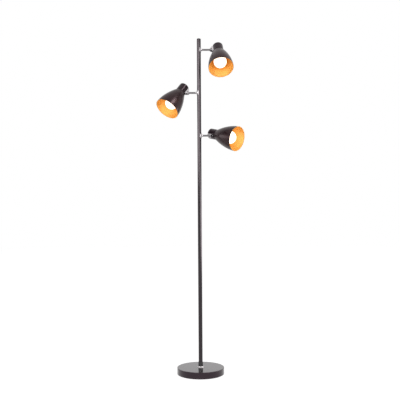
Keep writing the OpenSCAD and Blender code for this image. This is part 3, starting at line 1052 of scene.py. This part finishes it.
@dataclass
class Pole(Assembly):
    """The pole: foot collar, sleeve, three tube sections, cap and the arms' bosses."""

    stances: list[Stance]
    radius: float = 9.5
    wall: float = 1.3
    clearance: float = 0.05
    seam_round: float = 0.45
    collar_bore: float = 5.3
    collar_bead: float = 1.0
    collar_lip: float = 1.65
    collar_sweep: float = 1.5
    dome: float = 4.0
    boss_foot: float = 13.0
    boss_foot_wall: float = 1.2
    boss_foot_start: float = 3.5
    boss_trumpet: float = 9.4
    boss_trumpet_start: float = 4.5
    boss_nose: float = 5.8
    boss_flare: float = 8.3
    boss_inner: float = 5.6
    boss_shank: float = 6.3
    boss_bore: float = 4.56
    boss_hole: Point = (2.0, 15.0)
    steps: int = 96

    def build(self) -> None:
        """Builds the pole's pieces in order."""
        self.build_collar()
        self.build_sleeve()
        for section in Section:
            self.build_section(section)
        self.build_cap()
        self.build_bosses()
        self.shop.paint_solids(
            {"joint_bushes": Slot.ZINC, "joint_studs": Slot.ZINC, "feed_cable": Slot.SHEATH}
        )

    def build_collar(self) -> None:
        """Low chrome collar: a bead, a hollow step and an upright lip round the sleeve.

        Its chrome is painted paler than the arm's, as painted highlight.
        """
        box = Extent.of("foot_collar")
        radius, bottom, top = box.radius, box.low.z, box.high.z
        bead, sweep, soft = self.collar_bead, self.collar_sweep, 0.35
        lip = self.radius + self.collar_lip
        profile = [
            (self.collar_bore, bottom),
            *arc((radius - bead, bottom + bead), bead, -90, 90, 10),
            (radius - 1.5 * bead, bottom + 2 * bead),
            (radius - 1.6 * bead, bottom + 2.4 * bead),
            *arc((lip + sweep + 0.4, top - 0.1), sweep, -90, -180, 6),
            *arc((lip - 0.1, top - soft), soft, 0, 90, 3),
            (self.collar_bore, top),
        ]
        collar = Bench.lathe("foot_ring", profile, self.steps)
        # The collar's chrome is painted paler than the arm's, as painted highlight.
        self.hand_over(collar, Slot.CHROME, "foot_collar", coat=Coat.BRIGHT)

    def build_sleeve(self) -> None:
        """Gloss black sleeve with a rounded upper lip."""
        box = Extent.of("foot_sleeve")
        outer, bottom, top = box.radius, box.low.z, box.high.z
        inner = self.radius + self.clearance
        profile = [
            (inner, bottom),
            *arc((outer - 0.3, bottom + 0.3), 0.3, -90, 0, 3),
            *arc((outer - 0.6, top - 0.6), 0.6, 0, 90, 5),
            (inner, top),
        ]
        self.hand_over(Bench.lathe("foot_tube", profile, self.steps), Slot.SLEEVE, "foot_sleeve")

    def build_section(self, section: Section) -> None:
        """One tube section, its ends rounded so that each joint shows as a fine groove.

        Args:
            section: Which of the three.
        """
        node = f"pole_{section.value}"
        box = Extent.of(node)
        bottom, top, inner = box.low.z, box.high.z, self.radius - self.wall
        outside = side(self.radius, bottom, top, self.seam_round)
        profile = [(inner, bottom), *outside, (inner, top)]
        tube = Bench.lathe(f"tube_{section.value}", profile, self.steps)
        if section is Section.UPPER:
            for stance in self.stances:
                near, far = (stance.arm @ Vector((reach, 0, 0)) for reach in self.boss_hole)
                Bench.shape(tube, Bench.rod(self.boss_shank + self.clearance, near, far))
        self.hand_over(tube, Slot.NICKEL, node)

    def build_cap(self) -> None:
        """Low domed cap on a plug inside the tube."""
        box = Extent.of("pole_cap")
        top, foot, dome = box.high.z, box.low.z, self.dome
        plug = self.radius - self.wall - self.clearance
        shoulder = top - dome
        profile = [
            (0, foot),
            (plug - 0.5, foot),
            (plug, foot + 0.5),
            (plug, shoulder),
            (self.radius - 0.15, shoulder),
            *arc((self.radius - dome, shoulder), dome, 3, 84, 10),
            (2.0, top),
            (0, top),
        ]
        self.hand_over(Bench.lathe("pole_dome", profile, self.steps), Slot.NICKEL, "pole_cap")

    def build_bosses(self) -> None:
        """Three chrome bosses: a thin foot round the pole, a trumpet and a shank inside it."""
        reach = Extent.of("arm_bosses").high.x
        across = Matrix.Rotation(math.pi / 2, 4, "Y")
        turned = self.boss_trumpet - self.boss_nose - self.boss_flare
        foot_angle = 180 + math.degrees(math.acos(-turned / self.boss_flare))
        trumpet_profile = [
            (0, self.boss_trumpet_start),
            (self.boss_trumpet, self.boss_trumpet_start),
            *arc((self.boss_nose + self.boss_flare, reach), self.boss_flare, foot_angle, 184, 14),
            (self.boss_nose - 0.25, reach),
            (0, reach),
        ]
        foot_profile = [
            (0, self.boss_foot_start),
            (self.boss_foot, self.boss_foot_start),
            (self.boss_foot, self.radius + 2 * self.boss_foot_wall),
            (0, self.radius + 2 * self.boss_foot_wall),
        ]
        shank_profile = [
            (self.boss_bore, self.boss_inner),
            (self.boss_shank, self.boss_inner),
            (self.boss_shank, self.radius + 0.3),
            (self.boss_bore, self.radius + 0.3),
        ]
        bosses = []
        for stance in self.stances:
            level = stance.knuckle.z
            low, high = (Vector((0, 0, level + self.boss_foot * k)) for k in (-2, 2))
            place = stance.upright @ across
            boss = Bench.lathe(f"boss_{stance.name}", foot_profile, self.steps)
            boss.matrix_world = place
            outside = Bench.rod(self.radius + self.boss_foot_wall, low, high, self.steps)
            Bench.shape(boss, outside, Stroke.TRIM)
            trumpet = Bench.lathe("trumpet", trumpet_profile, self.steps)
            trumpet.matrix_world = place
            Bench.shape(boss, trumpet, Stroke.ADD)
            pole = Bench.rod(self.radius + self.clearance, low, high, self.steps)
            Bench.shape(boss, pole)
            near, far = (stance.upright @ Vector((x, 0, 0)) for x in (0, reach + 1))
            Bench.shape(boss, Bench.rod(self.boss_bore, near, far, self.steps))
            Bench.soften(boss, 0.3)
            shank = Bench.lathe(f"shank_{stance.name}", shank_profile, self.steps // 2)
            shank.matrix_world = place
            bosses += [boss, shank]
        for boss in bosses:
            Bench.pick(boss)
            bpy.ops.object.transform_apply(location=True, rotation=True, scale=True)
        joined = Bench.merge(*bosses)
        joined.name = joined.data.name = "side_bosses"
        # The bosses' chrome is painted paler than the arm's, as painted highlight.
        self.hand_over(joined, Slot.CHROME, "arm_bosses", coat=Coat.BOSS)


# ---- arms and heads --------------------------------------------------------------------------


@dataclass
class SpotArm(Assembly):
    """One side arm: chrome tube with the knuckle's barrel, its screws and what is inside."""

    stance: Stance
    radius: float = 4.5
    bore: float = 2.4
    start: float = 3.2
    ring: float = 0.5
    ring_span: Point = (9.5, 4.0)
    softness: float = 0.3
    barrel: float = 5.2
    barrel_width: float = 10.6
    barrel_softness: float = 0.5
    screw: float = 1.6
    screw_play: float = 0.02
    screw_slot: float = 0.9
    screw_slot_depth: float = 0.8
    screw_head: float = 3.4
    screw_head_height: float = 1.8
    screw_seat: float = 7.5
    screw_tip: float = 2.3

    @property
    def body(self) -> str:
        """The body that the arm's pieces ride on."""
        return Body.ARM.of(self.stance.spot)

    def build(self) -> None:
        """Builds the arm's pieces in order."""
        self.build_tube()
        self.build_screws()
        spot = self.stance.name
        self.shop.paint_solids({f"arm_nut_{spot}": Slot.ZINC, f"arm_lead_{spot}": Slot.SHEATH})

    def build_tube(self) -> None:
        """Arm tube with a stop ring and a cross barrel, bored right through."""
        spot, reach, radius = self.stance.name, self.stance.reach, self.radius
        soft, (low, high) = self.softness, (reach - back for back in self.ring_span)
        profile = [
            (self.bore, self.start),
            *arc((radius - soft, self.start + soft), soft, -90, 0, 3),
            (radius, low - 0.2),
            (radius + 0.1, low),
            *side(radius + self.ring, low, high, soft),
            (radius + 0.1, high),
            (radius, high + 0.2),
            (radius, reach),
            (self.bore, reach),
        ]
        tube = Bench.lathe(f"side_arm_{spot}", profile, 64)
        tube.data.transform(Matrix.Rotation(math.pi / 2, 4, "Y"))
        half = self.barrel_width / 2
        outside = side(self.barrel, -half, half, self.barrel_softness)
        barrel = Bench.lathe(f"barrel_{spot}", [(0, -half), *outside, (0, half)], 64)
        turn = Matrix.Rotation(math.pi / 2, 4, "X")
        barrel.data.transform(Matrix.Translation((reach, 0, 0)) @ turn)
        Bench.shape(tube, barrel, Stroke.ADD)
        near, far = Vector((self.start - 1, 0, 0)), Vector((reach + self.barrel + 1, 0, 0))
        Bench.shape(tube, Bench.rod(self.bore, near, far, 48))
        near, far = Vector((reach, -half - 1, 0)), Vector((reach, half + 1, 0))
        Bench.shape(tube, Bench.rod(self.screw + self.screw_play, near, far))
        self.hand_over(tube, Slot.CHROME, f"arm_{spot}", self.stance.arm)

    def build_screws(self) -> None:
        """Two slotted shoulder screws with domed heads."""
        spot, seat, head = self.stance.name, self.screw_seat, self.screw_head
        top = seat + self.screw_head_height
        profile = [
            (0, self.screw_tip),
            (self.screw - 0.2, self.screw_tip),
            (self.screw, self.screw_tip + 0.2),
            (self.screw, seat),
            *arc((head - 0.2, seat + 0.2), 0.2, -90, 0, 3),
            *arc((head - 0.9, top - 0.9), 0.9, 0, 80, 6),
            (head - 1.6, top),
            (0, top),
        ]
        screw = Bench.lathe(f"knuckle_screws_{spot}", profile, 48)
        half, floor = self.screw_slot / 2, top - self.screw_slot_depth
        slot = Bench.block(Vector((-half, -head - 1, floor)), Vector((half, head + 1, top + 1)))
        Bench.shape(screw, slot)
        Bench.soften(screw, 0.08, 1, 50)
        screw.data.transform(Matrix.Rotation(-math.pi / 2, 4, "X"))
        twin = Bench.copy(screw, Matrix.Rotation(math.pi, 4, "Z"))
        pair = Bench.merge(screw, twin)
        place = self.stance.arm @ Matrix.Translation((self.stance.reach, 0, 0))
        self.hand_over(pair, Slot.CHROME, f"pivot_screws_{spot}", place)


@dataclass
class SpotHead(Assembly):
    """One spot head: bracket, neck cup, lamp holder, spun bell and lit bulb."""

    stance: Stance
    offset: float = 33.0
    joint: float = -14.5
    neck_radius: float = 24.2
    neck_length: float = 41.5
    neck_round: float = 5.5
    neck_wall: float = 1.2
    shade_length: float = 118.0
    mouth: float = 57.8
    throat: float = 23.3
    bell_power: float = 1.84
    shade_wall: float = 1.0
    holder: float = 19.8
    holder_hole: float = 20.1
    holder_front: float = 20.0
    holder_rear: float = 16.0
    thread_start: float = 0.8
    thread_pitch: float = 2.5
    thread_depth: float = 0.55
    thread_turns: int = 7
    ring: float = 21.5
    ring_height: float = 4.4
    ring_gap: float = 0.5
    grips: int = 12
    grip: float = 0.85
    globe: float = 29.5
    globe_wall: float = 1.2
    globe_centre: float = -90.0
    globe_cut: float = 20.0
    bulb_waist: float = 0.9
    cap_front: float = -35.5
    cap_rear: float = -9.5
    cap_radius: float = 13.1
    ear_gap: float = 10.8
    ear: float = 2.0
    ear_radius: float = 6.3
    ear_shoulder: float = 3.0
    ear_root: float = 2.0
    plate: float = 1.5
    plate_rear: float = 21.0
    plate_front: float = -10.5
    plate_play: float = 0.05
    rivets: Point = (-6.0, 16.5)
    rivet_hole: float = 1.55
    pin_hole: float = 1.66
    slot_play: float = 0.1
    near_side: Point = (4.0, 18.0)

    @property
    def body(self) -> str:
        """The body that the head's pieces ride on."""
        return Body.HEAD.of(self.stance.spot)

    @property
    def axis(self) -> Matrix:
        """Frame of the turned pieces: z along the head's own axis."""
        return self.stance.head @ Matrix.Translation((self.offset, 0, 0))

    def build(self) -> None:
        """Builds the head's pieces in order."""
        self.build_bracket()
        self.build_neck()
        self.build_holder()
        self.build_ring()
        self.build_shade()
        self.build_globe()
        self.build_bulb_body()
        spot = self.stance.name
        self.shop.paint_solids(
            {
                f"rivets_{spot}": Slot.ZINC,
                f"neck_lead_{spot}": Slot.SHEATH,
                f"bulb_cap_{spot}": Slot.CAP,
            }
        )

    def turned(self, kind: str, profile: list[Point], steps: int, slot: Slot, node: str) -> None:
        """Turns a piece on the head's axis and hands it over.

        Args:
            kind: The new piece's name, before the spot's.
            profile: Points of radius and height along the head's axis.
            steps: Number of steps round the axis.
            slot: The slot that its finish comes from.
            node: The solid that it stands for, before the spot's name.
        """
        spot = self.stance.name
        piece = Bench.lathe(f"{kind}_{spot}", profile, steps)
        self.hand_over(piece, slot, f"{node}_{spot}", self.axis)

    def pierce(self, piece: bpy.types.Object) -> None:
        """Cuts the lead's round-ended way in and the rivets' holes, in the head's frame.

        Args:
            piece: The bracket or the neck.
        """
        near, far = self.near_side
        half, front, rear = 2.5, 3.5, 11.5
        outline = [
            *arc((0, rear - half), half, 0, 180, 12),
            *arc((0, front + half), half, 180, 360, 12),
        ]
        cutter = Bench.plate("wire_opening", outline, far - near)
        turn = Matrix.Rotation(-math.pi / 2, 4, "Z")
        cutter.matrix_world = Matrix.Translation((near, 0, 0)) @ turn
        Bench.shape(piece, cutter)
        for z in self.rivets:
            hole = Bench.rod(self.rivet_hole, Vector((near, 0, z)), Vector((far, 0, z)), 32)
            Bench.shape(piece, hole)

    def ear_outline(self, foot: float) -> list[Point]:
        """Side view of an ear: a round end, slanting edges and a straight foot.

        Args:
            foot: How far out the straight foot goes.

        Returns:
            Points of x and z, about the knuckle.
        """
        radius, shoulder = self.ear_radius, self.offset - self.neck_radius - self.ear_shoulder
        rear, front = Vector((shoulder, self.plate_rear)), Vector((shoulder, self.plate_front))
        rear_angle = math.atan2(rear.y, rear.x) + math.acos(radius / rear.length)
        front_angle = math.atan2(front.y, front.x) - math.acos(radius / front.length)
        return [
            *arc((0, 0), radius, math.degrees(rear_angle), math.degrees(front_angle) + 360, 24),
            tuple(front),
            (foot, self.plate_front),
            (foot, self.plate_rear),
            tuple(rear),
        ]

    def build_bracket(self) -> None:
        """Chrome fork: a curved plate inside the neck, and two ears that come out through it.

        Its chrome is painted paler than the arm's, as painted highlight.
        """
        spot, neck_inside = self.stance.name, self.neck_radius - self.neck_wall
        inner, outer = neck_inside - self.plate, neck_inside - self.plate_play
        half = self.ear_gap / 2 + self.ear
        across = math.degrees(math.asin(half / outer))
        front, rear = self.plate_front, self.plate_rear
        profile = [(inner, front), (outer, front), (outer, rear), (inner, rear)]
        bracket = Bench.lathe(f"fork_{spot}", profile, 24, 180 - across, 2 * across)
        bracket.data.transform(Matrix.Translation((self.offset, 0, 0)))
        outline = self.ear_outline(self.offset - inner + self.ear_root)
        for face in (-half, self.ear_gap / 2):
            ear = Bench.plate("ear", outline, self.ear)
            ear.data.transform(Matrix.Translation((0, face, 0)))
            Bench.shape(bracket, ear, Stroke.ADD)
        low, high = Vector((self.offset, 0, front - 1)), Vector((self.offset, 0, rear + 1))
        Bench.shape(bracket, Bench.rod(inner, low, high, 192))
        near, far = Vector((0, -half - 1, 0)), Vector((0, half + 1, 0))
        Bench.shape(bracket, Bench.rod(self.pin_hole, near, far))
        self.pierce(bracket)
        Bench.soften(bracket, 0.3)
        node = f"bracket_{spot}"
        # The bracket's chrome is painted paler than the arm's, as painted highlight.
        self.hand_over(bracket, Slot.CHROME, node, self.stance.head, Coat.BRIGHT)

    def build_neck(self) -> None:
        """Black cup, closed and rounded behind, with a fine rolled lip at its open end."""
        spot, joint = self.stance.name, self.joint
        radius, wall, curve, lip = self.neck_radius, self.neck_wall, self.neck_round, 0.45
        rear, inner = joint + self.neck_length, radius - wall
        profile = [
            (0, rear),
            *arc((radius - curve, rear - curve), curve, 90, 0, 12),
            (radius, joint + 1.6),
            (radius - 0.15, joint + 1.4),
            *arc((radius - lip, joint + lip), lip, 0, -90, 4),
            (inner, joint),
            *arc((radius - curve, rear - curve), curve - wall, 0, 90, 8),
            (0, rear - wall),
        ]
        neck = Bench.lathe(f"cup_{spot}", profile, 112)
        neck.data.transform(Matrix.Translation((self.offset, 0, 0)))
        self.pierce(neck)
        (near, far), play = self.near_side, self.slot_play
        for face in (-self.ear_gap / 2 - self.ear, self.ear_gap / 2):
            low = Vector((near, face - play, self.plate_front - play))
            high = Vector((far, face + self.ear + play, self.plate_rear + play))
            Bench.shape(neck, Bench.block(low, high))
        neck.data.transform(Matrix.Translation((-self.offset, 0, 0)))
        self.hand_over(neck, Slot.NECK, f"neck_{spot}", self.axis)

    def thread(self) -> list[Point]:
        """The lamp holder's coarse outer thread, ring after ring towards its mouth."""
        root, pitch = self.holder - self.thread_depth, self.thread_pitch
        points: list[Point] = []
        for turn in range(self.thread_turns):
            z = self.joint - self.thread_start - turn * pitch
            points += [
                (root, z),
                (self.holder, z - pitch * 0.3),
                (self.holder, z - pitch * 0.5),
                (root, z - pitch * 0.8),
            ]
        return points

    def build_holder(self) -> None:
        """Lamp holder with a stepped back, a coarse thread outside and a plain bore."""
        joint, rear, mouth = self.joint, self.holder_rear, self.joint - self.holder_front
        bore, deep = self.cap_radius + 0.3, self.cap_rear + 0.5
        neck_inside, root = self.neck_radius - self.neck_wall, self.holder - self.thread_depth
        soft = 0.4
        profile = [
            (0, rear),
            (12.6, rear),
            (13.0, rear - soft),
            (15.0, rear - 3),
            (16.8, joint + 3.2),
            *arc((neck_inside - 0.6, joint + 2.6), soft, 90, 0, 3),
            (neck_inside - 0.2, joint),
            *self.thread(),
            (root, mouth + soft),
            (root - soft, mouth),
            (bore + soft, mouth),
            (bore, mouth + soft),
            (bore, deep),
            (0, deep),
        ]
        self.turned("holder_skirt", profile, 72, Slot.BLACK_PLASTIC, "lamp_holder")

    def build_ring(self) -> None:
        """Clamping ring with a dozen finger grips."""
        spot, height, steps = self.stance.name, self.ring_height, self.grips * 12
        outline = []
        for step in range(steps):
            angle = math.tau * step / steps
            radius = self.ring + self.grip * max(0.0, math.cos(self.grips * angle)) ** 2
            outline.append((radius * math.cos(angle), radius * math.sin(angle)))
        ring = Bench.plate(f"clamp_ring_{spot}", outline, height)
        ring.data.transform(Matrix.Rotation(math.pi / 2, 4, "X"))
        low, high = Vector((0, 0, -1)), Vector((0, 0, height + 1))
        Bench.shape(ring, Bench.rod(self.holder + 0.05, low, high, 96))
        Bench.soften(ring, 0.35, angle=50)
        level = self.joint - self.shade_wall - self.ring_gap - height
        place = self.axis @ Matrix.Translation((0, 0, level))
        self.hand_over(ring, Slot.BLACK_PLASTIC, f"shade_ring_{spot}", place)

    def bell(self, share: float) -> float:
        """Outer radius of the bell at a share of its length from the neck."""
        return self.throat + (self.mouth - self.throat) * (1 - (1 - share) ** self.bell_power)

    def build_shade(self) -> None:
        """Spun bell: a flat flange, an even wall and a rolled rim, gold inside."""
        spot, joint, wall, bead, rings = self.stance.name, self.joint, self.shade_wall, 0.9, 44
        shares = [i / rings for i in range(1, rings)]
        outside = [(self.bell(share), joint - share * self.shade_length) for share in shares]
        inside = [(r - wall, z) for r, z in reversed(outside)]
        mouth_z = joint - self.shade_length
        profile = [
            (self.holder_hole, joint),
            (self.throat - 0.6, joint),
            (self.throat - 0.15, joint - 0.15),
            *outside,
            *arc((self.mouth - bead, mouth_z + bead), bead, 5, -170, 10),
            *inside,
            (self.bell(wall / self.shade_length) - wall, joint - wall),
            (self.holder_hole, joint - wall),
        ]
        shade = Bench.lathe(f"spun_bell_{spot}", profile, 144)
        self.hand_over(shade, Slot.SHADE, f"shade_{spot}", self.axis)
        shade.data.materials.append(self.shop.mix(Coat.GOLD))
        drawn = shade.data.attributes[DRAWN_AT].data
        for face in shade.data.polygons:
            centre = sum((drawn[i].vector for i in face.vertices), Vector()) / len(face.vertices)
            share = min(1.0, max(0.0, (joint - centre.z) / self.shade_length))
            # Past the middle of the wall, and below the middle of the flange, lies the inside.
            within = math.hypot(centre.x, centre.y) < self.bell(share) - wall * 0.6
            if within and centre.z < joint - wall * 0.5:
                face.material_index = 1

    def build_globe(self) -> None:
        """Opal globe, hollow, open where it meets the bulb's body."""
        inner = self.globe - self.globe_wall
        outer_end = math.degrees(math.asin(self.globe_cut / self.globe))
        inner_end = math.degrees(math.asin(self.globe_cut / inner))
        centre = (0.0, self.globe_centre)
        outside = arc(centre, self.globe, -90, outer_end, 32)
        inside = arc(centre, inner, inner_end, -90, 28)
        profile = [(0.0, outside[0][1]), *outside[1:], *inside[:-1], (0.0, inside[-1][1])]
        self.turned("lit_globe", profile, 96, Slot.GLOBE, "bulb_globe")

    def build_bulb_body(self) -> None:
        """Plastic body of the bulb, from the globe down to the screw cap."""
        top, steps = self.globe_centre + self.globe_cut, 12
        wide = math.sqrt(self.globe**2 - self.globe_cut**2)
        narrow = self.cap_radius - 0.2
        cone = []
        for step in range(steps + 1):
            share = step / steps
            radius = wide + (narrow - wide) * share - self.bulb_waist * math.sin(math.pi * share)
            cone.append((radius, top + (self.cap_front - top) * share))
        profile = [(0, top), *cone, (0, self.cap_front)]
        self.turned("bulb_waist", profile, 72, Slot.WHITE_PLASTIC, "bulb_body")


# ---- camera, light and floor -----------------------------------------------------------------


@dataclass(frozen=True)
class Softbox:
    """A soft rectangular lamp."""

    name: str
    at: Triple
    aim: Triple
    size: Point
    power: float

    def hang(self) -> None:
        """Adds the lamp to the scene, out of the camera's sight."""
        data = bpy.data.lights.new(self.name, "AREA")
        data.shape = "RECTANGLE"
        data.size, data.size_y = self.size
        data.energy = self.power
        lamp = bpy.data.objects.new(self.name, data)
        lamp.location = self.at
        back = Vector(self.at) - Vector(self.aim)
        lamp.rotation_euler = back.to_track_quat("Z", "Y").to_euler()
        lamp.visible_camera = False
        bpy.context.scene.collection.objects.link(lamp)


@dataclass(frozen=True)
class Studio:
    """Where the photograph was taken from, and plain soft light on a pale floor. In metres."""

    camera_distance: float = 3.289
    camera_height: float = 0.814
    camera_side: float = 0.0014
    camera_roll: float = 0.344
    focal_pixels: float = 702.2
    image_pixels: float = 400.0
    sensor: float = 36.0
    far_clip: float = 60.0
    ambient: float = 0.15
    floor_radius: float = 9.0
    floor_level: float = -0.0004
    floor_pale: float = 0.86
    floor_shadow: float = 0.22
    floor_white: float = 0.965
    softboxes: tuple[Softbox, ...] = (
        Softbox("left_softbox", (-3.2, -5.1, 2.05), (0, 0, 1.2), (4.4, 1.9), 170.0),
        Softbox("left_rim_softbox", (-5.9, 0.7, 2.1), (0, 0, 1.2), (5.0, 1.7), 60.0),
        Softbox("right_softbox", (2.9, -5.2, 2.0), (0, 0, 1.2), (4.2, 1.9), 86.0),
        Softbox("right_rim_softbox", (5.9, -0.9, 0.5), (0, 0, 0.6), (7.0, 1.0), 175.0),
        Softbox("key_softbox", (1.22, -0.68, 2.75), (-0.1, -0.1, 1.3), (0.9, 0.6), 20.0),
    )

    def build(self) -> None:
        """Sets the camera, the world, the lamps and the floor."""
        self.set_camera()
        self.set_world()
        for softbox in self.softboxes:
            softbox.hang()
        self.lay_floor()
        bpy.context.scene.view_settings.view_transform = "Standard"

    def set_camera(self) -> None:
        """A level camera in front, turned by the photograph's slight lean."""
        data = bpy.data.cameras.new("camera")
        data.sensor_width = self.sensor
        data.sensor_fit = "HORIZONTAL"
        data.lens = self.focal_pixels / self.image_pixels * self.sensor
        data.clip_end = self.far_clip
        camera = bpy.data.objects.new("camera", data)
        camera.location = (self.camera_side, -self.camera_distance, self.camera_height)
        camera.rotation_euler = (math.pi / 2, math.radians(self.camera_roll), 0)
        bpy.context.scene.collection.objects.link(camera)
        bpy.context.scene.camera = camera

    @staticmethod
    def by_sight(
        wiring: Wiring, usual: bpy.types.NodeSocket, seen: bpy.types.NodeSocket
    ) -> bpy.types.NodeSocket:
        """Mixes what lights the object with what shows: to the camera, in gloss, through glass.

        Args:
            wiring: The tree of the world or the floor.
            usual: What the object is lit by.
            seen: What shows as the background.

        Returns:
            The mixed shader.
        """
        path = wiring.node("ShaderNodeLightPath")
        share = path.outputs["Is Camera Ray"]
        for name in ("Is Glossy Ray", "Is Transmission Ray"):
            inputs = {0: share, 1: path.outputs[name]}
            share = wiring.node("ShaderNodeMath", inputs, operation="MAXIMUM").outputs[0]
        return wiring.node("ShaderNodeMixShader", {0: share, 1: usual, 2: seen}).outputs[0]

    def set_world(self) -> None:
        """White where it is seen, and plain soft light elsewhere."""
        world = bpy.data.worlds.new("studio")
        bpy.context.scene.world = world
        world.use_nodes = True
        wiring = Wiring(world.node_tree)
        white = {"Color": (1, 1, 1)}
        usual, seen = (
            wiring.node("ShaderNodeBackground", {**white, "Strength": strength}).outputs[0]
            for strength in (self.ambient, 1.0)
        )
        wiring.node("ShaderNodeOutputWorld", {"Surface": self.by_sight(wiring, usual, seen)})

    def lay_floor(self) -> None:
        """A wide round floor that shows white and keeps the lamp's soft shadow."""
        Bench.clear()
        bpy.ops.mesh.primitive_circle_add(
            vertices=96,
            radius=self.floor_radius,
            fill_type="NGON",
            location=(0, 0, self.floor_level),
        )
        floor = bpy.context.object
        floor.name = "studio_floor"
        material = bpy.data.materials.new("studio_floor")
        material.use_nodes = True
        wiring = Wiring(material.node_tree)
        pale, shadow = (
            wiring.node("ShaderNodeBsdfDiffuse", {"Color": (grey, grey, grey)}).outputs[0]
            for grey in (self.floor_pale, self.floor_shadow)
        )
        white = wiring.node("ShaderNodeEmission", {"Strength": self.floor_white}).outputs[0]
        seen = wiring.node("ShaderNodeAddShader", {0: white, 1: shadow}).outputs[0]
        wiring.node("ShaderNodeOutputMaterial", {"Surface": self.by_sight(wiring, pale, seen)})
        floor.data.materials.append(material)


# ---- the lamp --------------------------------------------------------------------------------

STANCES = [
    Stance(Spot.TOP, swivel=-40.5, tilt=4.5),
    Stance(Spot.MID, swivel=33.5, tilt=30.5),
    Stance(Spot.LOW, swivel=-70.5, tilt=49.5),
]


def main() -> None:
    """Builds the studio and the lamp."""
    logging.basicConfig(level=logging.INFO, format="%(name)s: %(message)s")
    Studio().build()
    shop = Paintshop()
    Base(shop).build()
    Pole(shop, STANCES).build()
    for stance in STANCES:
        SpotArm(shop, stance).build()
        SpotHead(shop, stance).build()


if __name__ == "__main__":
    main()
